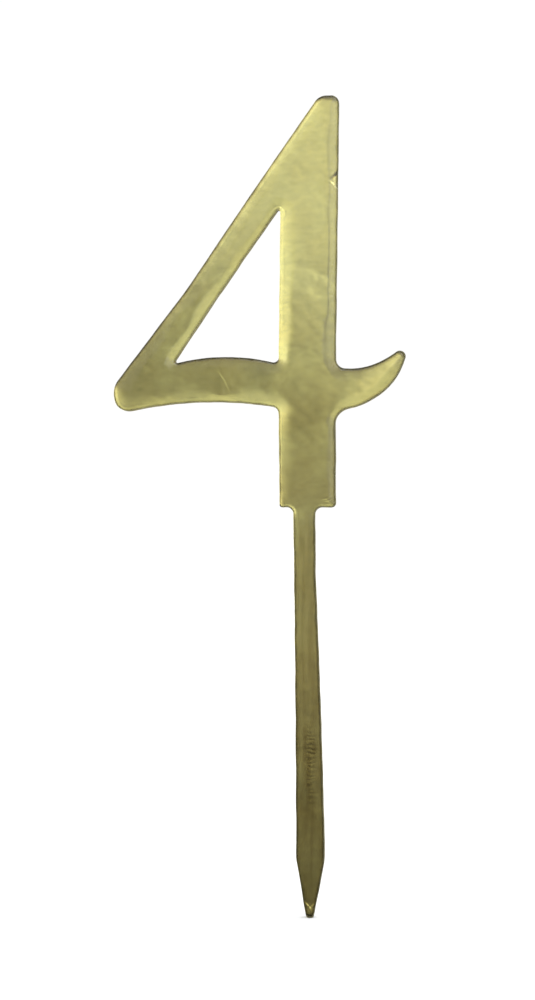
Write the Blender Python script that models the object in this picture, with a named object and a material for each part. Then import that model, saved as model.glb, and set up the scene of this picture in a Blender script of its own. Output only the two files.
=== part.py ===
"""A flat numeral four on a pointed stake, cut from one laminated sheet of gold mirror acrylic.

The sheet is a stack of four bonded layers that share one outline: a clear protective film, the
tinted acrylic that carries the load, the mirror film behind it and a backing paint.

Metres, +Z up. The numeral reads correctly from -Y, with +X to the right. The origin is on the
back of the sheet, in the middle of the stake's root, level with the shoulders that rest on the cake.
"""

import math
from collections import namedtuple

import bpy
from mathutils import Vector

MM = 0.001

# Heights, from the underside of the shoulders.
NUMERAL_HEIGHT = 69.85 * MM
STAKE_LENGTH = 69.3 * MM

# The upright, which leans out a little on its right side towards the top.
STEM_LEFT = -4.5 * MM
STEM_LEFT_FOOT = -4.3 * MM
STEM_RIGHT = 5.2 * MM
STEM_RIGHT_TOP = 5.8 * MM
TOP_LEFT = 2.4 * MM
TOP_LEFT_RADIUS = 2.3 * MM
TOP_RIGHT_RADIUS = 1.3 * MM

# The hook to the right of the upright: a curved blade that ends in a blunt tip.
HOOK_ROOT_TOP = 23.7 * MM
HOOK_ROOT_BOTTOM = 16.6 * MM
HOOK_TIP_START = 15.8 * MM
HOOK_TIP_END = 17.25 * MM
HOOK_TIP_HEIGHT = 26.6 * MM
HOOK_TIP_DROP = 0.4 * MM
HOOK_TIP_RADIUS = 0.95 * MM
HOOK_TOP_SAG = 1.25 * MM
HOOK_BELLY = 2.72 * MM
HOOK_TOP_FILLET = 1.8 * MM
HOOK_BOTTOM_FILLET = 2.3 * MM

# The crossbar and the round lobe where it meets the diagonal.
CROSSBAR_BOTTOM = 16.95 * MM
CROSSBAR_ARCH = 1.45 * MM
CROSSBAR_FILLET = 1.3 * MM
LOBE_LEFT = -32.9 * MM
LOBE_CORNER = -32.0 * MM
LOBE_BOTTOM = 15.9 * MM
LOBE_SIDE_HEIGHT = 20.35 * MM
LOBE_BOTTOM_RADIUS = 2.4 * MM
LOBE_SIDE_RADIUS = 3.6 * MM
DIAGONAL_KNEE = -19.9 * MM
DIAGONAL_KNEE_HEIGHT = 37.4 * MM
DIAGONAL_KNEE_RADIUS = 60.0 * MM
DIAGONAL_BULGE = 0.12 * MM

# The triangular opening of the numeral.
COUNTER_RIGHT = -4.2 * MM
COUNTER_RIGHT_FOOT = -4.5 * MM
COUNTER_TOP = 51.05 * MM
COUNTER_LEFT = -22.5 * MM
COUNTER_BOTTOM = 24.35 * MM
COUNTER_ARCH = 1.2 * MM
COUNTER_SIDE_BULGE = 0.15 * MM
COUNTER_TOP_RADIUS = 0.25 * MM
COUNTER_RIGHT_RADIUS = 0.85 * MM
COUNTER_LEFT_RADIUS = 0.35 * MM

# The stake, which widens a little downwards before it comes to a blunt point.
SHOULDER_LEFT_RADIUS = 0.45 * MM
SHOULDER_RIGHT_RADIUS = 0.8 * MM
STAKE_ROOT_LEFT = -2.0 * MM
STAKE_ROOT_RIGHT = 1.7 * MM
STAKE_ROOT_FILLET = 1.15 * MM
STAKE_WAIST = -12.0 * MM
STAKE_WAIST_RIGHT = 1.8 * MM
STAKE_WAIST_RADIUS = 60.0 * MM
STAKE_RIGHT_BULGE = 0.12 * MM
STAKE_LEFT_HOLLOW = 0.08 * MM
TAPER_START = -59.4 * MM
TAPER_LEFT = -1.5 * MM
TAPER_RIGHT = 3.35 * MM
TAPER_RADIUS = 8.0 * MM
POINT_LEFT = 0.2 * MM
POINT_RIGHT = 1.45 * MM
POINT_RADIUS = 0.5 * MM

# The laminate, from back to front, and the bond line between its layers.
BACKING_THICKNESS = 0.12 * MM
MIRROR_THICKNESS = 0.05 * MM
ACRYLIC_THICKNESS = 1.8 * MM
PROTECTIVE_THICKNESS = 0.06 * MM
BOND_LINE = 0.02 * MM

CURVE_STEPS = 12
STRAIGHT_TURN = 1e-9
SMALLEST_TURN = 1e-6

Corner = namedtuple("Corner", "x z radius bow", defaults=(0.0,))
Layer = namedtuple("Layer", "name thickness colour roughness metallic transmission")


class Edge:
    """A straight edge, or an arc whose middle stands off to the left of its chord by bow."""

    def __init__(self, start, end, bow):
        chord = end - start
        self.start = start
        self.chord = chord.length
        self.heading = math.atan2(chord.y, chord.x)
        self.half_turn = 2 * math.atan(2 * bow / self.chord)
        straight = abs(self.half_turn) < STRAIGHT_TURN
        self.length = self.chord if straight else self.chord * self.half_turn / math.sin(self.half_turn)

    def heading_at(self, distance):
        return self.heading + self.half_turn * (1 - 2 * distance / self.length)

    def point_at(self, distance):
        share = distance / self.length
        if abs(self.half_turn) < STRAIGHT_TURN:
            return self.start + unit(self.heading) * self.chord * share
        reach = self.chord * math.sin(self.half_turn * share) / math.sin(self.half_turn)
        return self.start + unit(self.heading + self.half_turn * (1 - share)) * reach


def unit(heading):
    return Vector((math.cos(heading), math.sin(heading)))


def turn_between(first, second):
    """The signed angle from one heading to another, within half a turn."""
    return math.remainder(second - first, math.tau)


def handle_length(arc_length, turn):
    """How far a Bezier handle reaches so that its segment follows a circular arc."""
    if abs(turn) < SMALLEST_TURN:
        return arc_length / 3
    return arc_length * 4 * math.tan(abs(turn) / 4) / (3 * abs(turn))


def outer_corners():
    """The outline's corners, clockwise from the top as seen from the front, before rounding."""
    return [
        Corner(TOP_LEFT, NUMERAL_HEIGHT, TOP_LEFT_RADIUS),
        Corner(STEM_RIGHT_TOP, NUMERAL_HEIGHT, TOP_RIGHT_RADIUS),
        Corner(STEM_RIGHT, HOOK_ROOT_TOP, HOOK_TOP_FILLET, -HOOK_TOP_SAG),
        Corner(HOOK_TIP_START, HOOK_TIP_HEIGHT, HOOK_TIP_RADIUS),
        Corner(HOOK_TIP_END, HOOK_TIP_HEIGHT - HOOK_TIP_DROP, HOOK_TIP_RADIUS, HOOK_BELLY),
        Corner(STEM_RIGHT, HOOK_ROOT_BOTTOM, HOOK_BOTTOM_FILLET),
        Corner(STEM_RIGHT, 0.0, SHOULDER_RIGHT_RADIUS),
        Corner(STAKE_ROOT_RIGHT, 0.0, STAKE_ROOT_FILLET),
        Corner(STAKE_WAIST_RIGHT, STAKE_WAIST, STAKE_WAIST_RADIUS, STAKE_RIGHT_BULGE),
        Corner(TAPER_RIGHT, TAPER_START, TAPER_RADIUS),
        Corner(POINT_RIGHT, -STAKE_LENGTH, POINT_RADIUS),
        Corner(POINT_LEFT, -STAKE_LENGTH, POINT_RADIUS),
        Corner(TAPER_LEFT, TAPER_START, TAPER_RADIUS, -STAKE_LEFT_HOLLOW),
        Corner(STAKE_ROOT_LEFT, 0.0, STAKE_ROOT_FILLET),
        Corner(STEM_LEFT_FOOT, 0.0, SHOULDER_LEFT_RADIUS),
        Corner(STEM_LEFT, CROSSBAR_BOTTOM, CROSSBAR_FILLET, -CROSSBAR_ARCH),
        Corner(LOBE_CORNER, LOBE_BOTTOM, LOBE_BOTTOM_RADIUS),
        Corner(LOBE_LEFT, LOBE_SIDE_HEIGHT, LOBE_SIDE_RADIUS),
        Corner(DIAGONAL_KNEE, DIAGONAL_KNEE_HEIGHT, DIAGONAL_KNEE_RADIUS, DIAGONAL_BULGE),
    ]


def counter_corners():
    """The corners of the opening, clockwise from its apex."""
    return [
        Corner(COUNTER_RIGHT, COUNTER_TOP, COUNTER_TOP_RADIUS),
        Corner(COUNTER_RIGHT_FOOT, COUNTER_BOTTOM, COUNTER_RIGHT_RADIUS, -COUNTER_ARCH),
        Corner(COUNTER_LEFT, COUNTER_BOTTOM, COUNTER_LEFT_RADIUS, COUNTER_SIDE_BULGE),
    ]


def edges_of(corners):
    """The edge that leaves each corner."""
    points = [Vector((corner.x, corner.z)) for corner in corners]
    following = points[1:] + points[:1]
    return [Edge(a, b, corner.bow) for a, b, corner in zip(points, following, corners)]


def rounded_loop(spline, corners):
    """Lays a closed Bezier spline along the corners, with each corner rounded to its radius."""
    edges = edges_of(corners)
    trims = []
    for index, corner in enumerate(corners):
        arriving = edges[index - 1]
        turn = turn_between(arriving.heading_at(arriving.length), edges[index].heading_at(0))
        trims.append(corner.radius * math.tan(abs(turn) / 2))
    spline.bezier_points.add(2 * len(corners) - 1)
    for index in range(len(corners)):
        arriving, leaving = edges[index - 1], edges[index]
        arrive_at = arriving.length - trims[index]
        heading_in = arriving.heading_at(arrive_at)
        heading_out = leaving.heading_at(trims[index])
        first, last = arriving.point_at(arrive_at), leaving.point_at(trims[index])
        turn = abs(turn_between(heading_in, heading_out))
        rounding = (last - first).length * turn / (2 * math.sin(turn / 2))
        reach_before = edge_handle(arriving, trims[index - 1], trims[index])
        reach_after = edge_handle(leaving, trims[index], trims[(index + 1) % len(corners)])
        reach_round = handle_length(rounding, turn)
        set_point(spline.bezier_points[2 * index], first, heading_in, reach_before, reach_round)
        set_point(spline.bezier_points[2 * index + 1], last, heading_out, reach_round, reach_after)
    spline.use_cyclic_u = True


def edge_handle(edge, trim_start, trim_end):
    """The handle length along what is left of an edge between its two rounded corners."""
    left = edge.length - trim_start - trim_end
    return handle_length(left, 2 * edge.half_turn * left / edge.length)


def set_point(point, place, heading, reach_before, reach_after):
    direction = unit(heading)
    point.handle_left_type = "FREE"
    point.handle_right_type = "FREE"
    point.co = place.to_3d()
    point.handle_left = (place - direction * reach_before).to_3d()
    point.handle_right = (place + direction * reach_after).to_3d()


def layer_material(layer):
    material = bpy.data.materials.new(layer.name)
    material.use_nodes = True
    shader = material.node_tree.nodes["Principled BSDF"]
    shader.inputs["Base Color"].default_value = (*layer.colour, 1.0)
    shader.inputs["Roughness"].default_value = layer.roughness
    shader.inputs["Metallic"].default_value = layer.metallic
    shader.inputs["Transmission Weight"].default_value = layer.transmission
    material.diffuse_color = (*layer.colour, 1.0)
    return material


def cut_layer(layer, back, stack, collection):
    """One layer of the laminate: the shared outline, filled and extruded to the layer's thickness."""
    curve = bpy.data.curves.new(layer.name, "CURVE")
    curve.dimensions = "2D"
    curve.fill_mode = "BOTH"
    curve.extrude = layer.thickness / 2
    curve.resolution_u = CURVE_STEPS
    rounded_loop(curve.splines.new("BEZIER"), outer_corners())
    rounded_loop(curve.splines.new("BEZIER"), counter_corners())
    curve.materials.append(layer_material(layer))
    sheet = bpy.data.objects.new(layer.name, curve)
    collection.objects.link(sheet)
    sheet.parent = stack
    sheet.location.z = back + layer.thickness / 2
    return sheet


def laminate():
    """The layers from the back of the sheet to its front."""
    return [
        Layer("backing_paint", BACKING_THICKNESS, (0.34, 0.34, 0.33), 0.75, 0.0, 0.0),
        Layer("mirror_film", MIRROR_THICKNESS, (0.86, 0.85, 0.82), 0.12, 1.0, 0.0),
        Layer("acrylic_sheet", ACRYLIC_THICKNESS, (0.72, 0.62, 0.20), 0.08, 0.0, 0.85),
        Layer("protective_film", PROTECTIVE_THICKNESS, (0.90, 0.90, 0.82), 0.30, 0.0, 0.9),
    ]


def clear_scene():
    for item in list(bpy.data.objects):
        bpy.data.objects.remove(item)


def build():
    clear_scene()
    collection = bpy.data.collections.new("number_four_topper")
    bpy.context.scene.collection.children.link(collection)
    stack = bpy.data.objects.new("laminate_stack", None)
    collection.objects.link(stack)
    # The outline is drawn flat and stood upright, so the stack grows from the back towards -Y.
    stack.rotation_euler.x = math.pi / 2
    back = 0.0
    for layer in laminate():
        cut_layer(layer, back, stack, collection)
        back += layer.thickness + BOND_LINE


build()
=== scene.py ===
"""The looks of the number-four cake topper: a laminated gold mirror sheet with laser-rounded edges.

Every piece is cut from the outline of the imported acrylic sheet. Places in the plane of the sheet
are (x, z) rows in metres. Heights run through the sheet, along Y: the front faces -Y and the back
lies at the box's highest Y, so a larger height lies further back.
"""

import math

import bpy
import numpy as np
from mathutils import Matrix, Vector
from mathutils.geometry import delaunay_2d_cdt
from mathutils.kdtree import KDTree

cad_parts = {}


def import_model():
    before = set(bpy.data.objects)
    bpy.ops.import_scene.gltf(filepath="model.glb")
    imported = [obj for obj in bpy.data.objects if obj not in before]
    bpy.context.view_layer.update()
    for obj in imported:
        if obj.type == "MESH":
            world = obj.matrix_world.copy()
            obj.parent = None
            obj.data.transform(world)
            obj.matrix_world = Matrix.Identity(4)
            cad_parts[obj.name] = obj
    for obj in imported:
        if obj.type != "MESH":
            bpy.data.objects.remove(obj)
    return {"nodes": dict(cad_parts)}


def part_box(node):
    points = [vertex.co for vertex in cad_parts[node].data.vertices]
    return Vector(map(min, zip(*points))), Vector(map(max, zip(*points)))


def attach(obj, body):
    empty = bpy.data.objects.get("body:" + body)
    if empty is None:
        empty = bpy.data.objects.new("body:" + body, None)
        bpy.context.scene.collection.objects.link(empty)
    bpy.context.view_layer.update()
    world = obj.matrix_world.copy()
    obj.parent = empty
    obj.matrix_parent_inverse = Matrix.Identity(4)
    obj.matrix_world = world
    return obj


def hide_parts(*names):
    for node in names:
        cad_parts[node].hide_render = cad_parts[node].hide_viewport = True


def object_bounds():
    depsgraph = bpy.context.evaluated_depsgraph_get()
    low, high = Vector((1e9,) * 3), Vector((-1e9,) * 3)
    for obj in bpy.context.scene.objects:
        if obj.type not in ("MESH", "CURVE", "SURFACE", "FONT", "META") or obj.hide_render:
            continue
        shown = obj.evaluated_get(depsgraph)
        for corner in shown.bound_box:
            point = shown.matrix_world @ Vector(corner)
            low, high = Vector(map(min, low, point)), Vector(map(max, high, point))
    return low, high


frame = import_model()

CAD_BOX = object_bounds()
MM = 0.001

# The edge as the laser leaves it: a broad soft shoulder, a steeper lip, and a melted round at the
# rim. Each ease is the share of the slope that some edges lose. A pair of FACING numbers says how
# far an edge has to face one way for an effect to start, and to be full.
SHOULDER_WIDTH = 2.6 * MM
SHOULDER_SLOPE = 0.20
SHOULDER_VARIATION = 0.25
SHOULDER_WAVE = 11 * MM
LEAST_SPREAD = 0.35
PROFILE_STEPS = 2001
LIP_WIDTH = 0.62 * MM
LIP_SLOPE = 0.26
LIP_START = 0.55
LIP_EASE = 0.35
CREASE_DEPTH = 0.8
CREASE_PLACE = 1.12
CREASE_WIDTH = 0.07 * MM
RIM_RADIUS = 0.16 * MM
UPPER_EASE = 0.75
UNDER_EASE = 0.3
FACING = (0.3, 1.0)
RIGHT_EDGE_NARROWING = 0.42
FACING_RIGHT = (0.1, 0.8)
LOWER_HEIGHT = 15.0 * MM
LOWER_EASE = 0.55
LOWER_NARROWING = 0.25
STEP_EASE = 0.8
STEP_REACH = 3.0 * MM
STAKE_EASE = 0.75
STAKE_FADE = 3.0 * MM

# The other layers end a little inside the acrylic.
FILM_SETBACK = 0.05 * MM
SETBACK_REACH = 0.8 * MM

# The dark line along the cut: partly the laser's burn, partly painted shade of the rounded rim. As
# painted shade it is stronger and wider where the outline faces one way than where it faces the other,
# at sharp corners, and towards the hook's thin end.
SCORCH_AND_RIM_SHADE_STRENGTH = 0.66
# Painted shade: the rim is made darker and wider where the outline faces right or down.
RIM_SHADE_DRIFT = np.array([0.08, -0.08])
SCORCH_AND_RIM_SHADE_REACH = 0.50 * MM
RIM_SHADE_SPREAD = np.array([0.06, -0.03]) * MM
SCORCH_AND_RIM_SHADE_SOFTNESS = 0.15
SCORCH_AND_RIM_SHADE_RAGGEDNESS = 0.08
SCORCH_AND_RIM_SHADE_WAVE = 3.5 * MM
# Painted shade: stronger at sharp outer corners, weaker on the counter's edges that face left, stronger
# towards the hook's thin end.
RIM_SHADE_AT_CORNERS = 0.35
RIM_SHADE_BESIDE_COUNTER = 0.6
FACING_LEFT = (-0.4, -1.0)
HOOK_END_SHADE = 0.1
HOOK_END_SHADE_START, HOOK_END_SHADE_FULL = 7.0 * MM, 15.0 * MM
CORNER_WINDOW = 0.9 * MM

# The cut wall: waves of the beam's path as (length, size) in mm, a slight bow, and fine ripples.
CUT_WAVES = ((9.0, 0.012), (4.0, 0.006), (1.6, 0.002))
WALL_BOW = 0.03 * MM
STRIA_DEPTH = 0.012 * MM
WALL_ROWS = 6

# Marks in the mirror film; the waves are (size, length, seed), and places are shares of the box.
FILM_WAVES = ((0.003 * MM, 9 * MM, 5), (0.0012 * MM, 2.6 * MM, 6))
RIDGE_ENDS = (0.08, 0.92)
LEDGE_LENGTH = 0.55
LEDGE_SINKING = 4
FAN_EDGE = (0.768, 0.8985)
FAN_LENGTH_MM, FAN_UPPER_FADE_MM, FAN_LOWER_FADE_MM = 1.8, 0.8, 0.3
FAN_HEIGHT = 0.12 * MM
FAN_ROUNDING = 0.4
CURL_START = 0.79
CURL = 0.20 * MM
CURL_FADE = 6 * MM
COMB_MIDDLE, COMB_TOP, COMB_BOTTOM = 0.675, 0.25, 0.12
COMB_TOP_FADE, COMB_BOTTOM_FADE = 6 * MM, 5 * MM
COMB_UNEVENNESS = 1.2
COMB_HEIGHT = 0.0045 * MM
COMB_PITCH = 0.75 * MM
COMB_WIDTH = 0.7 * MM
COMB_WAVE = 2.4 * MM

# A darker stripe down the stake: its middle and its ends as shares of the box, and how far it wanders and
# spreads.
STRIPE_MIDDLE = 0.672
STRIPE_BOTTOM, STRIPE_TOP = (0.11, 0.15), (0.265, 0.21)
STRIPE_WANDER = 0.25 * MM
STRIPE_WAVE = 5 * MM
STRIPE_WIDTH = 0.75 * MM

# How fine the meshes are.
OUTLINE_STEP = 0.22 * MM
RING_DEPTHS = [
    share * MM for share in (0.02, 0.06, 0.11, 0.18, 0.28, 0.4, 0.52, 0.64, 0.8, 1.05, 1.35, 1.7)
]
RING_TOLERANCE = 0.96
INNER_STEP = 0.55 * MM
INNER_MARGIN = 0.4
ROW_PITCH = 0.87
CELL = 0.06 * MM
CROWDING = CELL * 0.7  # points closer than this are thinned out
MARK_STEP_MM = 0.16
NORMAL_STEP = 0.01 * MM
TOUCHING = 1e-6
TINY = 1e-9

SHOULDER_SEED, SCORCH_AND_RIM_SHADE_SEED, STRIA_SEED, COMB_SEED, STRIPE_SEED = 3, 8, 11, 21, 31


# ---------------------------------------------------------------- outline of the sheet

def front_loops(node):
    """The closed outlines of a flat node's front face as (x, z) arrays, with the material on the left."""
    mesh = node.data
    mesh.calc_loop_triangles()
    points = np.empty(len(mesh.vertices) * 3)
    mesh.vertices.foreach_get("co", points)
    points = np.round(points.reshape(-1, 3), 7)
    faces = np.empty(len(mesh.loop_triangles) * 3, int)
    mesh.loop_triangles.foreach_get("vertices", faces)
    points, index = np.unique(points, axis=0, return_inverse=True)
    faces = index.reshape(-1)[faces].reshape(-1, 3)
    front = points[:, 1].min()
    flat = faces[(np.abs(points[faces][:, :, 1] - front) < TOUCHING).all(axis=1)]
    edges = {(a, b) for face in flat for a, b in zip(face, np.roll(face, -1))}
    following = {a: b for a, b in edges if (b, a) not in edges}
    loops = []
    while following:
        start, here = following.popitem()
        loop = [start]
        while here != start:
            loop.append(here)
            here = following.pop(here)
        loops.append(points[loop][:, [0, 2]])
    return sorted(loops, key=len, reverse=True)


def resampled(loop, step):
    """The same closed loop with evenly spaced points."""
    closed = np.vstack([loop, loop[:1]])
    lengths = np.concatenate([[0], np.cumsum(np.linalg.norm(np.diff(closed, axis=0), axis=1))])
    places = np.linspace(0, lengths[-1], max(8, round(lengths[-1] / step)), endpoint=False)
    return np.column_stack([np.interp(places, lengths, closed[:, axis]) for axis in (0, 1)])


def inward_of(loop):
    """Unit vectors into the material at each point of a loop."""
    along = np.roll(loop, -1, axis=0) - np.roll(loop, 1, axis=0)
    along /= np.linalg.norm(along, axis=1)[:, None]
    return np.column_stack([-along[:, 1], along[:, 0]])


def cut_wobble(loop, seed):
    """How far the beam strays from the drawn line, along the loop."""
    turns = np.arange(len(loop)) / len(loop) * math.tau
    rng = np.random.default_rng(seed)
    length = len(loop) * OUTLINE_STEP / MM
    wobble = np.zeros(len(loop))
    for wavelength, size in CUT_WAVES:
        count = max(2, round(length / wavelength))
        for shift in (-1, 0, 2):
            wobble += size * np.sin((count + shift) * turns + rng.uniform(0, math.tau))
    return wobble * MM


def cornering(loop):
    """How sharply the outline turns near each point: 0 on a straight, 1 at a right angle."""
    count = round(CORNER_WINDOW / OUTLINE_STEP)
    before = loop - np.roll(loop, count, axis=0)
    after = np.roll(loop, -count, axis=0) - loop
    cross = before[:, 0] * after[:, 1] - before[:, 1] * after[:, 0]
    turn = np.abs(np.arctan2(cross, (before * after).sum(axis=1))) / (math.pi / 2)
    return np.clip(turn, 0, 1)


class Outline:
    """The sheet's boundary, with the distance to it and the way out of it at any point."""

    def __init__(self, loops):
        self.loops = []
        for seed, loop in enumerate(loops):
            even = resampled(loop, OUTLINE_STEP)
            self.loops.append(even + inward_of(even) * cut_wobble(even, seed)[:, None])
        self.points = np.vstack(self.loops)
        self.inward = np.vstack([inward_of(loop) for loop in self.loops])
        self.corner = np.concatenate([cornering(loop) for loop in self.loops])
        starts = np.cumsum([0] + [len(loop) for loop in self.loops[:-1]])
        spans = [np.arange(start, start + len(loop)) for start, loop in zip(starts, self.loops)]
        self.next = np.concatenate([np.roll(span, -1) for span in spans])
        self.last = np.concatenate([np.roll(span, 1) for span in spans])
        self.tree = KDTree(len(self.points))
        for index, (x, z) in enumerate(self.points):
            self.tree.insert((x, z, 0), index)
        self.tree.balance()

    def reach(self, places):
        """Signed distance into the material, the unit vector away from the edge, and its nearest point."""
        nearest = np.array([self.tree.find((x, z, 0))[1] for x, z in places])
        best = np.full(len(places), np.inf)
        foot = np.zeros_like(places)
        for a, b in ((self.last[nearest], nearest), (nearest, self.next[nearest])):
            start, along = self.points[a], self.points[b] - self.points[a]
            share = ((places - start) * along).sum(axis=1) / (along * along).sum(axis=1)
            spot = start + along * np.clip(share, 0, 1)[:, None]
            gap = np.linalg.norm(places - spot, axis=1)
            closer = gap < best
            best[closer] = gap[closer]
            foot[closer] = spot[closer]
        inward = self.inward[nearest]
        side = np.sign(((places - foot) * inward).sum(axis=1))
        touching = best < TOUCHING
        away = (places - foot) * side[:, None] / np.maximum(best, TINY)[:, None]
        away[touching] = inward[touching]
        return np.where(touching, best, best * side), away, nearest


class Plan:
    """A triangulation of the sheet seen from the front, finer towards the edge and at its marks."""

    def __init__(self, outline, extra):
        self.outline = outline
        rim = outline.points
        rings = []
        for depth in RING_DEPTHS:
            ring = rim + outline.inward * depth
            if depth > LIP_WIDTH:
                ring = ring[::2]
            rings.append(ring[outline.reach(ring)[0] > depth * RING_TOLERANCE])
        extra = extra[outline.reach(extra)[0] > RING_DEPTHS[1]]
        inner = self.grid(INNER_STEP, RING_DEPTHS[-1] + INNER_STEP * INNER_MARGIN)
        places = self.thinned(np.vstack([rim] + rings + [extra, inner]), len(rim))
        edges = [(a, int(b)) for a, b in enumerate(outline.next)]
        found = delaunay_2d_cdt([Vector(p / MM) for p in places], edges, [], 0, TOUCHING)
        self.places = np.array([tuple(v) for v in found[0]]) * MM
        faces = np.array(found[2])
        if len(self.places) != len(places):
            raise ValueError("two points of the plan fell together")
        faces = faces[outline.reach(self.places[faces].mean(axis=1))[0] > 0]
        corners = self.places[faces]
        first, second = corners[:, 1] - corners[:, 0], corners[:, 2] - corners[:, 0]
        turned = first[:, 0] * second[:, 1] - first[:, 1] * second[:, 0] < 0
        faces[turned] = faces[turned][:, ::-1]
        self.faces = faces
        self.rim_count = len(rim)
        self.gap, self.away, self.nearest = outline.reach(self.places)
        self.gap[: len(rim)] = 0
        self.away[: len(rim)] = outline.inward

    def grid(self, step, margin):
        """Staggered rows of points that lie deeper in the material than the margin."""
        low, high = self.outline.points.min(axis=0), self.outline.points.max(axis=0)
        rows = []
        for row, z in enumerate(np.arange(low[1], high[1], step * ROW_PITCH)):
            xs = np.arange(low[0] + (row % 2) * step / 2, high[0], step)
            rows.append(np.column_stack([xs, np.full(len(xs), z)]))
        spots = np.vstack(rows)
        return spots[self.outline.reach(spots)[0] > margin]

    @staticmethod
    def thinned(places, rim_count):
        """Drops points that crowd an earlier one; the rim and its first ring always stay."""
        seen = {}
        keep = []
        for index, (x, z) in enumerate(places):
            column, row = int(x // CELL), int(z // CELL)
            around = [seen.get((column + i, row + j)) for i in (-1, 0, 1) for j in (-1, 0, 1)]
            gaps = [math.dist(places[other], (x, z)) for other in around if other is not None]
            crowded = any(gap < CROWDING for gap in gaps)
            if index < rim_count * 2 or not crowded:
                keep.append(index)
                seen[column, row] = index
        return places[keep]


# ---------------------------------------------------------------- relief of the surfaces

def smooth(values, low, high):
    """0 below low, 1 above high, and a soft step between; low may be the larger."""
    share = np.clip((values - low) / (high - low), 0, 1)
    return share * share * (3 - 2 * share)


def waves(places, wavelength, seed, count=9):
    """A smooth random field of about unit size, made of crossing sine waves."""
    rng = np.random.default_rng(seed)
    field = np.zeros(len(places))
    for _ in range(count):
        turn = rng.uniform(0, math.tau)
        stretch = wavelength * rng.uniform(0.7, 1.5)
        along = places @ np.array([math.cos(turn), math.sin(turn)])
        field += np.sin(along / stretch * math.tau + rng.uniform(0, math.tau))
    return field / math.sqrt(count / 2)


def summed_inwards(slope, step):
    """The depth that a slope adds up to, counted from the inner end."""
    return np.cumsum(slope[::-1])[::-1] * step


def rim_profile():
    """Distances from the edge, and at each the depth of two kinds of broad shoulder and of the lip.

    The first shoulder steepens evenly and the second, for edges that face right, begins with a
    fold. All of them run nearly level on a thin line just inside the lip.
    """
    gaps = np.linspace(0, SHOULDER_WIDTH, PROFILE_STEPS)
    even = SHOULDER_SLOPE * (1 - gaps / SHOULDER_WIDTH)
    folded = SHOULDER_SLOPE * np.sqrt(1 - gaps / SHOULDER_WIDTH)
    lip = LIP_SLOPE * smooth(gaps, LIP_WIDTH, LIP_WIDTH * LIP_START)
    crease = 1 - CREASE_DEPTH * np.exp(-((gaps - LIP_WIDTH * CREASE_PLACE) / CREASE_WIDTH) ** 2)
    step = gaps[1] - gaps[0]
    return gaps, *(summed_inwards(slope * crease, step) for slope in (even, folded, lip))


def drop_at(gap, places, away):
    """How far the front face has sunk at a distance from the edge.

    It sinks less at edges that face up or down, low on the stem, where the stem steps down to the
    stake, and on the stake itself. Edges that face right have a narrower shoulder with a fold.
    """
    gap = np.maximum(gap, 0)
    gaps, even, folded, lip = rim_profile()
    height = places[:, 1]
    stake = smooth(-height, 0, STAKE_FADE)
    step = smooth(np.abs(height), STEP_REACH, 0)
    lower = smooth(height, LOWER_HEIGHT + STEP_REACH, LOWER_HEIGHT - STEP_REACH)
    upper = UPPER_EASE * smooth(-away[:, 1], *FACING)
    under = UNDER_EASE * smooth(away[:, 1], *FACING)
    rightward = smooth(-away[:, 0], *FACING_RIGHT)
    varied = 1 + SHOULDER_VARIATION * waves(places, SHOULDER_WAVE, SHOULDER_SEED)
    spread = np.maximum(varied, LEAST_SPREAD)
    spread *= (1 - LOWER_NARROWING * lower) * (1 - RIGHT_EDGE_NARROWING * rightward)
    beyond = np.maximum(gap - LIP_WIDTH, 0) / spread + np.minimum(gap, LIP_WIDTH)
    inset = np.clip(RIM_RADIUS - gap, 0, RIM_RADIUS)
    rounding = RIM_RADIUS - np.sqrt(RIM_RADIUS**2 - inset**2)
    broad = np.interp(beyond, gaps, even) * (1 - rightward)
    broad += np.interp(beyond, gaps, folded) * rightward
    broad *= (1 - STEP_EASE * step) * (1 - upper) * (1 - under) * (1 - LOWER_EASE * lower)
    sharp = np.interp(gap, gaps, lip) * (1 - LIP_EASE * (1 - step))
    sharp *= 1 - LOWER_EASE * lower * (1 - step)
    return (broad + sharp) * (1 - STAKE_EASE * stake) + rounding


def drop_slopes(plan):
    """The front face's slopes along X and Z, which always run down towards the nearest edge."""
    near = np.maximum(plan.gap - NORMAL_STEP, 0)
    far = plan.gap + NORMAL_STEP
    fall = drop_at(far, plan.places, plan.away) - drop_at(near, plan.places, plan.away)
    slope = fall / (far - near)
    return slope * plan.away[:, 0], slope * plan.away[:, 1]


def ridge(places, path, width, height):
    """A soft ridge along a path of (x, z) points, fading towards both ends."""
    path = np.array(path)
    lengths = np.concatenate([[0], np.cumsum(np.linalg.norm(np.diff(path, axis=0), axis=1))])
    best = np.full(len(places), np.inf)
    run = np.zeros(len(places))
    for start, end, begun in zip(path, path[1:], lengths):
        along = end - start
        share = np.clip(((places - start) @ along) / (along @ along), 0, 1)
        gap = np.linalg.norm(places - start - share[:, None] * along, axis=1)
        closer = gap < best
        best[closer] = gap[closer]
        run[closer] = begun + share[closer] * np.linalg.norm(along)
    taper = np.sin(np.clip(run / lengths[-1], *RIDGE_ENDS) * math.pi)
    return height * taper * np.exp(-((best / width) ** 2))


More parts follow.
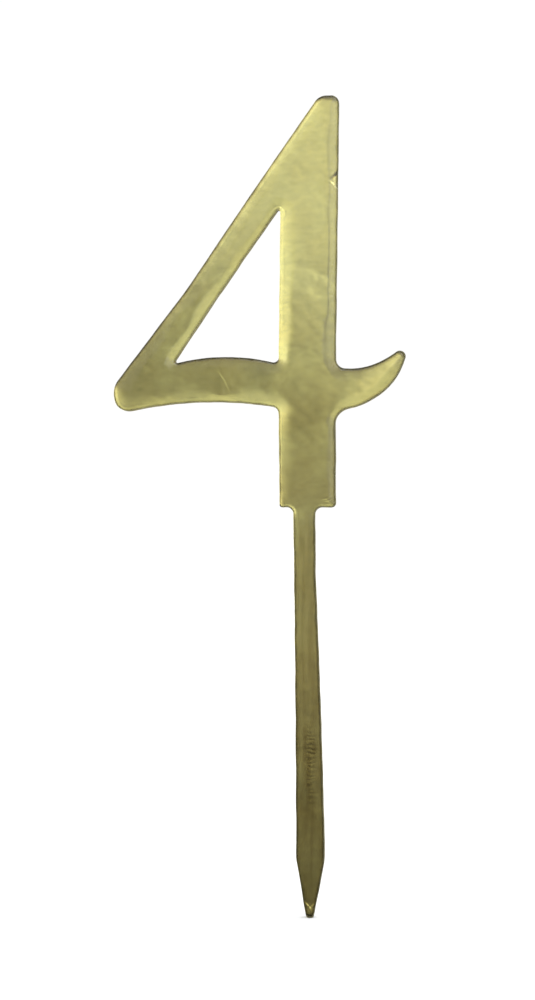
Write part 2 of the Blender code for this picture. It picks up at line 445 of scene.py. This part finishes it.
def ledge(places, path, width, height):
    """A quick rise across a path, from its lower side to its upper, that slowly sinks back beyond it."""
    path = np.array(path)
    along = path[-1] - path[0]
    up = np.array([-along[1], along[0]]) / np.linalg.norm(along)
    if up[1] < 0:
        up = -up
    best = np.full(len(places), np.inf)
    across = np.zeros(len(places))
    for start, end in zip(path, path[1:]):
        step = end - start
        share = np.clip(((places - start) @ step) / (step @ step), 0, 1)
        offset = places - start - share[:, None] * step
        gap = np.linalg.norm(offset, axis=1)
        closer = gap < best
        best[closer] = gap[closer]
        across[closer] = (offset @ up)[closer]
    middle = path.mean(axis=0)
    run = (places - middle) @ along / np.linalg.norm(along)
    taper = np.exp(-((run / (LEDGE_LENGTH * np.linalg.norm(along))) ** 4))
    sinking = np.exp(-((np.maximum(across, 0) / (LEDGE_SINKING * width)) ** 2))
    return height * taper * smooth(across, -width, width) * sinking


def slopes_of(height_at, places):
    """The slopes along X and Z of a height field, by differences."""
    result = []
    for step in (np.array([NORMAL_STEP, 0]), np.array([0, NORMAL_STEP])):
        result.append((height_at(places + step) - height_at(places - step)) / (2 * NORMAL_STEP))
    return result


class Marks:
    """Where the mirror film has come loose or creased.

    The marks are placed by shares of the sheet's own box and from corners of its outline.
    """

    def __init__(self, outline):
        self.low = outline.points.min(axis=0)
        self.size = outline.points.max(axis=0) - self.low
        self.apex = outline.loops[1][outline.loops[1][:, 1].argmax()]
        self.inner_corner = outline.loops[1][outline.loops[1][:, 0].argmin()]
        self.tip = outline.loops[0][outline.loops[0][:, 1].argmin()]
        self.creases = self.drawn_creases()
        self.dents = self.drawn_dents()

    def at(self, across, up):
        """The (x, z) place at these shares of the sheet's width and height."""
        return self.low + self.size * (across, up)

    def drawn_creases(self):
        """Each crease as (path, width, height), drawn in mm from a place on the outline."""
        apex, corner, tip = self.apex, self.inner_corner, self.tip
        step = self.at(0.757, 0.502)
        drawn = (
            (apex, ((-1.9, -0.9), (-1.5, -0.1), (-0.8, 0.6), (0.0, 0.95), (0.5, 0.75)), 0.14, 0.028),
            (apex, ((-1.35, -0.75), (-0.85, -0.1), (-0.3, 0.45)), 0.12, 0.022),
            (apex, ((0.5, 0.75), (1.1, 0.2), (1.25, -0.7), (0.9, -1.5)), 0.14, 0.012),
            (corner, ((-1.0, 0.2), (-0.55, -0.35), (0.05, -0.85)), 0.12, 0.012),
            (corner, ((0.55, 2.1), (0.70, 2.3)), 0.12, 0.010),
            (corner, ((0.25, 1.3), (0.35, 1.5)), 0.12, 0.010),
            (tip, ((-0.9, 2.8), (0.1, 1.7), (0.5, 0.8)), 0.16, 0.040),
            (tip, ((0.75, 2.5), (-0.2, 1.5), (-0.3, 0.6)), 0.16, 0.040),
            (step, ((-2.6, 0.75), (-1.2, 1.0), (-0.3, 1.9)), 0.13, 0.014),
            (step, ((-1.7, 0.55), (-0.9, 0.65), (-0.3, 1.2)), 0.12, 0.012),
        )
        creases = []
        for origin, offsets, width, height in drawn:
            path = [origin + np.array(offset) * MM for offset in offsets]
            creases.append((path, width * MM, height * MM))
        return creases

    def drawn_dents(self):
        """Each soft dent or scratch as (path, width, height), drawn in mm and shares of the box."""
        drawn = (
            (((0.665, 0.787), (0.690, 0.783), (0.700, 0.775)), 0.50, 0.018),
            (((0.715, 0.780), (0.735, 0.775), (0.745, 0.767)), 0.50, 0.018),
            (((0.668, 0.766), (0.686, 0.757), (0.715, 0.753)), 0.60, 0.022),
            (((0.096, 0.673), (0.116, 0.668), (0.136, 0.664)), 0.14, 0.005),
            (((0.199, 0.658), (0.219, 0.657), (0.247, 0.652)), 0.18, 0.004),
            (((0.360, 0.664), (0.380, 0.653), (0.400, 0.638)), 0.14, 0.005),
            (((0.634, 0.911), (0.640, 0.910)), 0.16, 0.007),
            (((0.638, 0.904), (0.645, 0.903)), 0.16, 0.009),
        )
        dents = []
        for spots, width, height in drawn:
            dents.append(([self.at(*spot) for spot in spots], width * MM, height * MM))
        return dents

    def fan(self, places):
        """A small fan-shaped lift that opens on the stem's right edge."""
        edge = self.at(*FAN_EDGE)
        across = np.maximum((places[:, 0] - edge[0]) / MM + FAN_LENGTH_MM, 0)
        up = (places[:, 1] - edge[1]) / MM
        inside = smooth(across - up, 0, FAN_UPPER_FADE_MM) * smooth(across + up, 0, FAN_LOWER_FADE_MM)
        return FAN_HEIGHT * across**2 / (1 + FAN_ROUNDING * across) * inside

    def curl(self, places):
        """The hook's end, where the mirror film curls back a little."""
        start, end = self.at(CURL_START, 0)[0], self.at(1.0, 0)[0]
        share = np.clip((places[:, 0] - start) / (end - start), 0, 1)
        return CURL * share**2 * smooth(places[:, 1], 0, CURL_FADE)

    def comb(self, places):
        """Short cross ripples down the middle of the stake."""
        middle, top = self.at(COMB_MIDDLE, COMB_TOP)
        bottom = self.at(COMB_MIDDLE, COMB_BOTTOM)[1]
        z = places[:, 1]
        along = smooth(z, bottom, bottom + COMB_BOTTOM_FADE) * smooth(z, top, top - COMB_TOP_FADE)
        across = np.exp(-(((places[:, 0] - middle) / COMB_WIDTH) ** 2))
        phase = waves(places, COMB_WAVE, COMB_SEED) * COMB_UNEVENNESS
        return COMB_HEIGHT * along * across * np.sin(z / COMB_PITCH * math.tau + phase)

    def relief(self, places):
        """How far the mirror film lies behind the acrylic's back, apart from a constant."""
        height = np.zeros(len(places))
        for size, wavelength, seed in FILM_WAVES:
            height += size * waves(places, wavelength, seed)
        for path, width, size in self.creases:
            height += ridge(places, path, width, size)
        dented = np.zeros(len(places))
        for path, width, size in self.dents:
            dented += ledge(places, path, width, size)
        return height + self.fan(places) + self.curl(places) + self.comb(places) + dented

    def extra_places(self):
        """Extra plan points at the marks, so that the mesh can follow them."""
        rows = []
        for path, width, _ in self.creases + self.dents:
            path = np.array(path)
            for start, end in zip(path, path[1:]):
                along = end - start
                side = np.array([-along[1], along[0]]) / np.linalg.norm(along)
                count = max(2, round(np.linalg.norm(along) / (MARK_STEP_MM * MM)))
                for share in (np.arange(count) + 0.5) / count:
                    for offset in (-1.6, -0.8, 0, 0.8, 1.6):
                        rows.append(start + along * share + side * width * offset)
        fan, comb = self.at(0.745, 0.896), self.at(0.69, 0.19)
        for middle, spread in ((fan, (1.3, 1.8)), (comb, (1.2, 8.5))):
            xs = np.arange(-spread[0], spread[0], MARK_STEP_MM) * MM
            zs = np.arange(-spread[1], spread[1], MARK_STEP_MM) * MM
            rows += [middle + (x, z) for x in xs for z in zs]
        return np.array(rows)


# ---------------------------------------------------------------- building one layer

def unit_rows(vectors):
    return vectors / np.linalg.norm(vectors, axis=1)[:, None]


def facing_front(slope_x, slope_z):
    """Unit normals of a front face whose height grows by these slopes along X and Z."""
    return unit_rows(np.column_stack([slope_x, -np.ones(len(slope_x)), slope_z]))


def layer_mesh(name, plan, front, back, front_slopes, back_slopes, setback, striae):
    """A closed sheet over the plan: front and back heights, joined by a wall along the rim.

    The slopes give each face its normals, and the walls' normals point straight out of the outline.
    """
    pulled = setback * smooth(plan.gap, SETBACK_REACH, 0)
    places = plan.places + plan.away * pulled[:, None]
    count, rim = len(places), plan.rim_count
    outward = -plan.outline.inward
    sheets = [np.column_stack([places[:, 0], front, places[:, 1]])]
    rows = [np.arange(rim)]
    jitter = np.random.default_rng(STRIA_SEED).uniform(-1, 1, rim) * striae
    for row in range(1, WALL_ROWS):
        share = row / WALL_ROWS
        height = front[:rim] * (1 - share) + back[:rim] * share
        bow = (WALL_BOW + jitter) * math.sin(math.pi * share) if striae else np.zeros(rim)
        edge = places[:rim] - outward * bow[:, None]
        rows.append(count + (row - 1) * rim + np.arange(rim))
        sheets.append(np.column_stack([edge[:, 0], height, edge[:, 1]]))
    base = count + (WALL_ROWS - 1) * rim
    rows.append(base + np.arange(rim))
    sheets.append(np.column_stack([places[:, 0], back, places[:, 1]]))
    following = plan.outline.next
    walls = [
        np.column_stack([fore, hind, hind[following], fore[following]])
        for fore, hind in zip(rows, rows[1:])
    ]
    faces = plan.faces.tolist() + (plan.faces[:, ::-1] + base).tolist() + np.vstack(walls).tolist()
    mesh = bpy.data.meshes.new(name)
    mesh.from_pydata(np.vstack(sheets).tolist(), [], faces)
    side = len(plan.faces)
    material = np.zeros(len(faces), np.int32)
    material[2 * side :] = 1
    mesh.polygons.foreach_set("material_index", material)
    mesh.shade_smooth()
    vertex = np.empty(len(mesh.loops), int)
    mesh.loops.foreach_get("vertex_index", vertex)
    normals = np.zeros((len(vertex), 3))
    normals[: 3 * side] = facing_front(*front_slopes)[vertex[: 3 * side]]
    behind = slice(3 * side, 6 * side)
    normals[behind] = -facing_front(*back_slopes)[vertex[behind] - base]
    on_wall = vertex[6 * side :]
    around = np.where(on_wall < rim, on_wall, (on_wall - count) % rim)
    around = np.where(on_wall >= base, on_wall - base, around)
    flat = np.zeros(len(around))
    normals[6 * side :] = np.column_stack([outward[around, 0], flat, outward[around, 1]])
    mesh.normals_split_custom_set(normals.tolist())
    paint_attribute(mesh, "rim_gap", plan.gap / MM, 0.0, plan)
    # The dark rim's strength: the laser's burn, with painted shade of the rounded rim.
    paint_attribute(mesh, "scorch_and_rim_shade", scorch_and_rim_shade_of(plan), 1.0, plan)
    # A darker stripe down the stake's middle.
    paint_attribute(mesh, "stake_stripe", stake_stripe_of(plan), 0.0, plan)
    return mesh


def scorch_and_rim_shade_of(plan):
    """The strength of the dark line along the cut, partly the laser's burn and partly painted shade of the
    rounded rim, falling to 0 inside it.
    """
    outline = plan.outline
    outward = -outline.inward[plan.nearest]
    outer = plan.nearest < len(outline.loops[0])
    # The facing, corner and hook-end terms below are painted shade of the rim.
    strength = SCORCH_AND_RIM_SHADE_STRENGTH + outward @ RIM_SHADE_DRIFT
    strength += RIM_SHADE_AT_CORNERS * outline.corner[plan.nearest] ** 2 * outer
    spared = (1 - RIM_SHADE_BESIDE_COUNTER) * smooth(outward[:, 0], *FACING_LEFT)
    strength *= np.where(outer, 1, 1 - spared)
    hook_end_shade = HOOK_END_SHADE * smooth(plan.places[:, 0], HOOK_END_SHADE_START, HOOK_END_SHADE_FULL)
    strength += hook_end_shade
    reach = (SCORCH_AND_RIM_SHADE_REACH + outward @ RIM_SHADE_SPREAD) * (1 + hook_end_shade)
    reach *= 1 + SCORCH_AND_RIM_SHADE_RAGGEDNESS * waves(plan.places, SCORCH_AND_RIM_SHADE_WAVE, SCORCH_AND_RIM_SHADE_SEED)
    return np.minimum(strength, 1) * smooth(plan.gap, reach, SCORCH_AND_RIM_SHADE_SOFTNESS * reach)


def stake_stripe_of(plan):
    """1 along the middle of the stake's lower half, falling to 0 around it."""
    low = plan.outline.points.min(axis=0)
    size = plan.outline.points.max(axis=0) - low
    wander = STRIPE_WANDER * waves(plan.places, STRIPE_WAVE, STRIPE_SEED, 5)
    across = plan.places[:, 0] - (low[0] + STRIPE_MIDDLE * size[0]) - wander
    up = (plan.places[:, 1] - low[1]) / size[1]
    along = smooth(up, *STRIPE_BOTTOM) * smooth(up, *STRIPE_TOP)
    return along * np.exp(-((across / STRIPE_WIDTH) ** 2))


def paint_attribute(mesh, name, values, wall_value, plan):
    """Stores one number per vertex: the plan's values on both faces, wall_value between them."""
    wall = np.full((WALL_ROWS - 1) * plan.rim_count, wall_value)
    attribute = mesh.attributes.new(name, "FLOAT", "POINT")
    attribute.data.foreach_set("value", np.concatenate([values, wall, values]).astype(np.float32))


def add_piece(name, mesh, node, materials):
    """Puts the mesh in the scene in place of a CAD node; materials are the faces' and the walls'."""
    piece = bpy.data.objects.new(name, mesh)
    bpy.context.scene.collection.objects.link(piece)
    for material in materials:
        mesh.materials.append(material)
    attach(piece, "root")
    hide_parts(node)
    return piece


# ---------------------------------------------------------------- node helpers

class Nodes:
    """Short ways to add and link shader nodes in one tree."""

    def __init__(self, tree):
        self.tree = tree

    def feed(self, socket, value):
        """Links a socket to an input, or sets the input to a plain value."""
        if isinstance(value, bpy.types.NodeSocket):
            self.tree.links.new(value, socket)
        else:
            socket.default_value = value

    def math(self, operation, *values, clamp=False):
        node = self.tree.nodes.new("ShaderNodeMath")
        node.operation = operation
        node.use_clamp = clamp
        for socket, value in zip(node.inputs, values):
            self.feed(socket, value)
        return node.outputs[0]

    def total(self, first, *others):
        for other in others:
            first = self.math("ADD", first, other)
        return first

    def product(self, first, *others):
        for other in others:
            first = self.math("MULTIPLY", first, other)
        return first

    def opposite(self, value):
        """1 minus the value."""
        return self.math("SUBTRACT", 1.0, value)

    def ramp(self, value, low, high, from_low=0.0, to_high=1.0):
        """value moved from low..high to from_low..to_high, smoothly and clamped."""
        node = self.tree.nodes.new("ShaderNodeMapRange")
        node.interpolation_type = "SMOOTHSTEP"
        for socket, number in zip(node.inputs, (value, low, high, from_low, to_high)):
            self.feed(socket, number)
        return node.outputs[0]

    def mix(self, share, a, b):
        node = self.tree.nodes.new("ShaderNodeMix")
        node.data_type = "RGBA"
        self.feed(node.inputs[0], share)
        self.feed(node.inputs[6], a)
        self.feed(node.inputs[7], b)
        return node.outputs[2]

    def noise(self, vector, scale, detail=2.0, roughness=0.5):
        node = self.tree.nodes.new("ShaderNodeTexNoise")
        self.feed(node.inputs["Vector"], vector)
        node.inputs["Scale"].default_value = scale
        node.inputs["Detail"].default_value = detail
        node.inputs["Roughness"].default_value = roughness
        return node.outputs[0]

    def stretched(self, vector, scale, turn=0.0):
        node = self.tree.nodes.new("ShaderNodeMapping")
        self.feed(node.inputs["Vector"], vector)
        node.inputs["Scale"].default_value = scale
        node.inputs["Rotation"].default_value = (0, turn, 0)
        return node.outputs[0]

    def bump(self, height, distance, strength=1.0, normal=None):
        node = self.tree.nodes.new("ShaderNodeBump")
        node.inputs["Distance"].default_value = distance
        node.inputs["Strength"].default_value = strength
        self.feed(node.inputs["Height"], height)
        if normal is not None:
            self.feed(node.inputs["Normal"], normal)
        return node.outputs[0]

    def place(self):
        return self.tree.nodes.new("ShaderNodeTexCoord").outputs["Object"]

    def axes(self, vector):
        """The vector's x, y and z as three sockets."""
        node = self.tree.nodes.new("ShaderNodeSeparateXYZ")
        self.feed(node.inputs[0], vector)
        return node.outputs

    def attribute(self, name):
        node = self.tree.nodes.new("ShaderNodeAttribute")
        node.attribute_name = name
        return node.outputs["Fac"]


def new_material(name):
    material = bpy.data.materials.new(name)
    material.use_nodes = True
    nodes = Nodes(material.node_tree)
    return material, nodes, material.node_tree.nodes["Principled BSDF"]


# ---------------------------------------------------------------- materials

# Colour of the dark rim: the laser's burn and painted shade of the rounded rim.
SCORCH_AND_RIM_SHADE = (0.075, 0.062, 0.024, 1)
ACRYLIC_IOR = 1.49
LOW_GLARE_IOR = 1.02


def acrylic_face():
    """Amber acrylic, polished: it tints what the mirror behind it returns, darker in streaks down the
    stake and along the rim, whose dark is partly painted shade.
    """
    material, nodes, shader = new_material("amber_acrylic")
    place = nodes.place()
    scorch_and_rim_shade = nodes.attribute("scorch_and_rim_shade")
    cloud = nodes.noise(place, 90.0, 3.0)
    tint = nodes.mix(nodes.ramp(cloud, 0.35, 0.65), (0.99, 0.93, 0.53, 1), (1.0, 0.96, 0.57, 1))
    hairs = nodes.noise(nodes.stretched(place, (0.3, 1, 1), 0.35), 2400.0, 3.0)
    streaks = nodes.noise(nodes.stretched(place, (1, 1, 0.08)), 1300.0, 2.0)
    ragged = nodes.product(nodes.ramp(hairs, 0.36, 0.62), nodes.ramp(streaks, 0.3, 0.6))
    # A darker amber stripe down the stake's middle.
    stake_stripe = nodes.math("MULTIPLY", nodes.attribute("stake_stripe"), nodes.total(0.3, ragged), clamp=True)
    tint = nodes.mix(stake_stripe, tint, (0.70, 0.62, 0.30, 1))
    # Darker, duller streaks over the stake below the stem.
    on_stake = nodes.ramp(nodes.axes(place)["Z"], 0.0, -6 * MM)
    stake_dulling = nodes.product(on_stake, nodes.ramp(streaks, 0.35, 0.65), 0.45)
    tint = nodes.mix(stake_dulling, tint, (0.74, 0.66, 0.34, 1))
    # The dark rim, the laser's burn with painted shade: darker colour, less transmission and less glare
    # there.
    nodes.feed(shader.inputs["Base Color"], nodes.mix(scorch_and_rim_shade, tint, SCORCH_AND_RIM_SHADE))
    peel = nodes.noise(place, 900.0, 2.0)
    nodes.feed(shader.inputs["Normal"], nodes.bump(peel, 0.015 * MM, 0.3))
    smear = nodes.noise(nodes.stretched(place, (1, 1, 0.35), 0.5), 260.0, 4.0)
    clean = nodes.ramp(smear, 0.4, 0.75, 0.02, 0.09)
    nodes.feed(shader.inputs["Roughness"], nodes.total(clean, nodes.product(scorch_and_rim_shade, 0.3)))
    nodes.feed(shader.inputs["Transmission Weight"], nodes.ramp(scorch_and_rim_shade, 0.55, 1.0, 1.0, 0.15))
    nodes.feed(shader.inputs["IOR"], nodes.ramp(scorch_and_rim_shade, 0.25, 0.9, ACRYLIC_IOR, LOW_GLARE_IOR))
    return material


def acrylic_wall():
    """The laser-cut edge: browned by the heat, with fine ripples through the thickness."""
    material, nodes, shader = new_material("cut_edge")
    place = nodes.place()
    ripple = nodes.noise(nodes.stretched(place, (1, 0.05, 1)), 2200.0, 2.0)
    soot = nodes.noise(nodes.stretched(place, (1, 0.3, 1)), 320.0, 3.0)
    colour = nodes.mix(nodes.ramp(soot, 0.3, 0.7), (0.17, 0.145, 0.05, 1), (0.32, 0.27, 0.10, 1))
    nodes.feed(shader.inputs["Base Color"], colour)
    nodes.feed(shader.inputs["Normal"], nodes.bump(ripple, 0.03 * MM, 0.6))
    nodes.feed(shader.inputs["Roughness"], nodes.ramp(soot, 0.3, 0.7, 0.18, 0.4))
    facing = material.node_tree.nodes.new("ShaderNodeLayerWeight").outputs["Facing"]
    nodes.feed(shader.inputs["IOR"], nodes.ramp(facing, 0.5, 0.9, ACRYLIC_IOR, LOW_GLARE_IOR))
    shader.inputs["Transmission Weight"].default_value = 0.25
    return material


def mirror_metal():
    """Vacuum-laid metal: bright, a little hazy, with the ripples of a cheap mirror."""
    material, nodes, shader = new_material("mirror_metal")
    place = nodes.place()
    swell = nodes.noise(nodes.stretched(place, (1, 1, 0.6)), 160.0, 3.0)
    grain = nodes.noise(place, 1500.0, 2.0)
    soft = nodes.bump(swell, 0.03 * MM, 0.2)
    nodes.feed(shader.inputs["Normal"], nodes.bump(grain, 0.004 * MM, 0.3, soft))
    mottle = nodes.noise(nodes.stretched(place, (0.6, 1, 1)), 900.0, 5.0, 0.65)
    brushed = nodes.noise(nodes.stretched(place, (0.2, 1, 1)), 4500.0, 2.0)
    uneven = nodes.total(nodes.product(mottle, 0.75), nodes.product(brushed, 0.25))
    dull, bright = (0.88, 0.88, 0.865, 1), (0.98, 0.98, 0.97, 1)
    nodes.feed(shader.inputs["Base Color"], nodes.mix(nodes.ramp(uneven, 0.35, 0.65), dull, bright))
    nodes.feed(shader.inputs["Roughness"], nodes.ramp(swell, 0.3, 0.7, 0.13, 0.19))
    shader.inputs["Metallic"].default_value = 1.0
    return material


def paint_grey():
    """Sprayed backing paint: matt grey, speckled, browned and rubbed along the cut."""
    material, nodes, shader = new_material("grey_backing_paint")
    place = nodes.place()
    rim_gap = nodes.attribute("rim_gap")
    speckle = nodes.noise(place, 2400.0, 3.0, 0.7)
    patch = nodes.noise(place, 160.0, 3.0)
    base = nodes.mix(nodes.ramp(patch, 0.3, 0.7), (0.30, 0.30, 0.29, 1), (0.38, 0.38, 0.37, 1))
    smoke = nodes.product(nodes.ramp(rim_gap, 1.6, 0.0), nodes.ramp(patch, 0.3, 0.75), 0.6)
    browned = nodes.mix(smoke, base, (0.16, 0.12, 0.07, 1))
    rubbed = nodes.product(nodes.ramp(rim_gap, 0.22, 0.0), nodes.ramp(speckle, 0.4, 0.6))
    nodes.feed(shader.inputs["Base Color"], nodes.mix(rubbed, browned, (0.55, 0.52, 0.42, 1)))
    nodes.feed(shader.inputs["Normal"], nodes.bump(speckle, 0.02 * MM, 0.6))
    nodes.feed(shader.inputs["Roughness"], nodes.ramp(patch, 0.3, 0.7, 0.5, 0.72))
    return material


def film_clear():
    """The peel-off film: nearly invisible, with a weak hazy shine and fine handling scratches."""
    material, nodes, shader = new_material("clear_peel_film")
    place = nodes.place()
    tree = material.node_tree
    clear = tree.nodes.new("ShaderNodeBsdfTransparent")
    shine = tree.nodes.new("ShaderNodeBsdfGlossy")
    scratch = nodes.noise(nodes.stretched(place, (40, 1, 1), 0.7), 60.0, 2.0)
    haze = nodes.noise(place, 120.0, 4.0)
    nodes.feed(shine.inputs["Normal"], nodes.bump(scratch, 0.01 * MM, 0.3))
    nodes.feed(shine.inputs["Roughness"], nodes.ramp(haze, 0.35, 0.7, 0.15, 0.35))
    fresnel = tree.nodes.new("ShaderNodeFresnel")
    fresnel.inputs["IOR"].default_value = 1.25
    inside = tree.nodes.new("ShaderNodeNewGeometry").outputs["Backfacing"]
    # No shine on the dark rim, which is the laser's burn with painted shade.
    off_dark_rim = nodes.ramp(nodes.attribute("scorch_and_rim_shade"), 0.1, 0.6, 1.0, 0.0)
    mixed = tree.nodes.new("ShaderNodeMixShader")
    share = nodes.product(fresnel.outputs[0], nodes.product(nodes.opposite(inside), off_dark_rim))
    nodes.feed(mixed.inputs[0], share)
    nodes.feed(mixed.inputs[1], clear.outputs[0])
    nodes.feed(mixed.inputs[2], shine.outputs[0])
    tree.links.new(mixed.outputs[0], tree.nodes["Material Output"].inputs["Surface"])
    tree.nodes.remove(shader)
    return material


# ---------------------------------------------------------------- the four layers

def faces_of(node):
    """The lowest and highest Y of a flat node: its front and its back."""
    return tuple(corner.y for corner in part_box(node))


def build_layers():
    """The four layers: the two in front follow the sunken rim, the two behind follow the marks."""
    outline = Outline(front_loops(frame["nodes"]["acrylic_sheet"]))
    marks = Marks(outline)
    plan = Plan(outline, marks.extra_places())
    drop = drop_at(plan.gap, plan.places, plan.away)
    sunk = drop_slopes(plan)
    relief = marks.relief(plan.places)
    lift = relief - relief.min()
    lifted = slopes_of(marks.relief, plan.places)
    flat = np.zeros(len(drop))
    acrylic = [acrylic_face(), acrylic_wall()]
    film, metal, paint = film_clear(), mirror_metal(), paint_grey()
    for name, node, slot, materials, heights, slopes, setback, striae in (
        ("acrylic_plate", "acrylic_sheet", "gold_acrylic", acrylic,
         (drop, flat), (sunk, (flat, flat)), 0.0, STRIA_DEPTH),
        ("protective_film_skin", "protective_film", "protective_film", [film, film],
         (drop, drop), (sunk, sunk), FILM_SETBACK, 0.0),
        ("mirror_film_metal", "mirror_film", "mirror_film", [metal, metal],
         (lift, lift), (lifted, lifted), FILM_SETBACK, 0.0),
        ("backing_paint_coat", "backing_paint", "backing_paint", [paint, paint],
         (lift, lift), (lifted, lifted), FILM_SETBACK, 0.0),
    ):
        front, back = faces_of(node)
        fore, hind = front + heights[0], back + heights[1]
        mesh = layer_mesh(name, plan, fore, hind, *slopes, setback, striae)
        add_piece(name, mesh, node, materials)


# ---------------------------------------------------------------- stage

FLOOR_SIZE = 30.0
FLOOR_GAP = 0.02 * MM
CAMERA_DISTANCE = 370 * MM
CAMERA_AZIMUTH, CAMERA_ELEVATION = 3.65, -0.67
CAMERA_AIM = (-6.34 * MM, 1.25 * MM)
FIELD_HEIGHT = 169.3 * MM
SENSOR = 36.0


def floor():
    """A pale matt floor just under the stake's point, left out of the mirror's reflections."""
    bpy.ops.mesh.primitive_plane_add(size=FLOOR_SIZE, location=(0, 0, CAD_BOX[0].z - FLOOR_GAP))
    plane = bpy.context.object
    plane.name = "studio_floor"
    material, _, shader = new_material("studio_floor")
    shader.inputs["Base Color"].default_value = (0.95, 0.95, 0.95, 1)
    shader.inputs["Roughness"].default_value = 0.9
    shader.inputs["Specular IOR Level"].default_value = 0.0
    plane.data.materials.append(material)
    plane.visible_glossy = False
    plane.visible_transmission = False


def world():
    """A pale studio that the mirror reflects unevenly; azimuth 0 degrees is -Y, and it grows towards +X.

    The floor and other matt surfaces see an even light, and the camera sees plain white.
    """
    studio = bpy.data.worlds.new("studio")
    bpy.context.scene.world = studio
    studio.use_nodes = True
    tree = studio.node_tree
    nodes = Nodes(tree)
    math_of, ramp, product, total = nodes.math, nodes.ramp, nodes.product, nodes.total
    x, y, z = nodes.axes(tree.nodes.new("ShaderNodeTexCoord").outputs["Generated"])
    azimuth = math_of("DEGREES", math_of("ARCTAN2", x, product(y, -1.0)))
    elevation = math_of("DEGREES", math_of("ARCSINE", z))

    def glow(azimuth_at, azimuth_wide, elevation_at, elevation_wide):
        """A soft round patch of light in one direction."""
        across = math_of("DIVIDE", math_of("SUBTRACT", azimuth, azimuth_at), azimuth_wide)
        up = math_of("DIVIDE", math_of("SUBTRACT", elevation, elevation_at), elevation_wide)
        spread = total(product(across, across), product(up, up))
        return math_of("EXPONENT", product(spread, -1.0))

    slanted = total(elevation, product(total(azimuth, 2.8), 0.45))
    aside = math_of("ABSOLUTE", total(azimuth, 3.6))
    room = total(
        0.09,
        # straight ahead: dim low down, dimmer again above the horizon, a little lighter at the sides
        product(0.19, ramp(elevation, -9.0, -2.5)),
        product(-0.13, ramp(elevation, 0.6, 3.0)),
        product(0.06, ramp(aside, 2.5, 12.0)),
        # the bright wall behind the upper stem, with a slanted lower edge
        product(0.50, ramp(slanted, 3.9, 6.5), ramp(azimuth, -10.0, -4.0)),
        # lighter to the right, which the left edges reflect
        product(0.34, ramp(azimuth, -2.5, 11.0), ramp(elevation, -6.0, 2.0)),
        product(0.30, ramp(azimuth, 8.0, 18.0), ramp(elevation, -2.0, 6.0)),
        # two soft lights that the hook reflects
        product(0.55, glow(2.4, 2.9, 4.2, 1.6)),
        product(0.30, glow(6.5, 2.5, 4.8, 1.8)),
        # lighter to the left, which the right edges reflect
        product(0.07, ramp(azimuth, -7.0, -9.0)),
        product(0.36, ramp(azimuth, -7.4, -9.2), ramp(elevation, 3.0, 7.5)),
        # the studio's two sides, and a broad lamp above
        product(0.60, ramp(azimuth, 38.0, 75.0)),
        product(0.60, ramp(azimuth, -30.0, -70.0)),
        product(1.5, glow(12.0, 18.0, 28.0, 9.0)),
    )
    tone = nodes.mix(ramp(elevation, -9.0, 10.0), (1.0, 0.92, 0.85, 1), (1.0, 1.04, 1.13, 1))
    path = tree.nodes.new("ShaderNodeLightPath")
    diffuse, seen = path.outputs["Is Diffuse Ray"], path.outputs["Is Camera Ray"]
    wash = total(0.95, product(0.3, z))
    light = total(product(wash, diffuse), product(room, nodes.opposite(diffuse)))
    light = total(product(light, nodes.opposite(seen)), product(1.02, seen))
    plain = math_of("MAXIMUM", diffuse, seen)
    background = tree.nodes["Background"]
    nodes.feed(background.inputs["Color"], nodes.mix(plain, tone, (1.0, 1.0, 1.0, 1.0)))
    nodes.feed(background.inputs["Strength"], light)


def camera():
    """Looks at the front from a little to its right, at arm's length."""
    data = bpy.data.cameras.new("camera")
    eye = bpy.data.objects.new("camera", data)
    bpy.context.scene.collection.objects.link(eye)
    aim = Vector((CAMERA_AIM[0], CAD_BOX[0].y, CAMERA_AIM[1]))
    azimuth, elevation = math.radians(CAMERA_AZIMUTH), math.radians(CAMERA_ELEVATION)
    across = math.cos(elevation)
    back = Vector((math.sin(azimuth) * across, -math.cos(azimuth) * across, math.sin(elevation)))
    eye.location = aim + back * CAMERA_DISTANCE
    eye.rotation_euler = (-back).to_track_quat("-Z", "Y").to_euler()
    data.sensor_width = SENSOR
    data.lens = SENSOR * CAMERA_DISTANCE / FIELD_HEIGHT
    data.clip_start = 0.01
    data.clip_end = 100
    bpy.context.scene.camera = eye


build_layers()
floor()
world()
camera()
bpy.context.scene.view_settings.view_transform = "Standard"
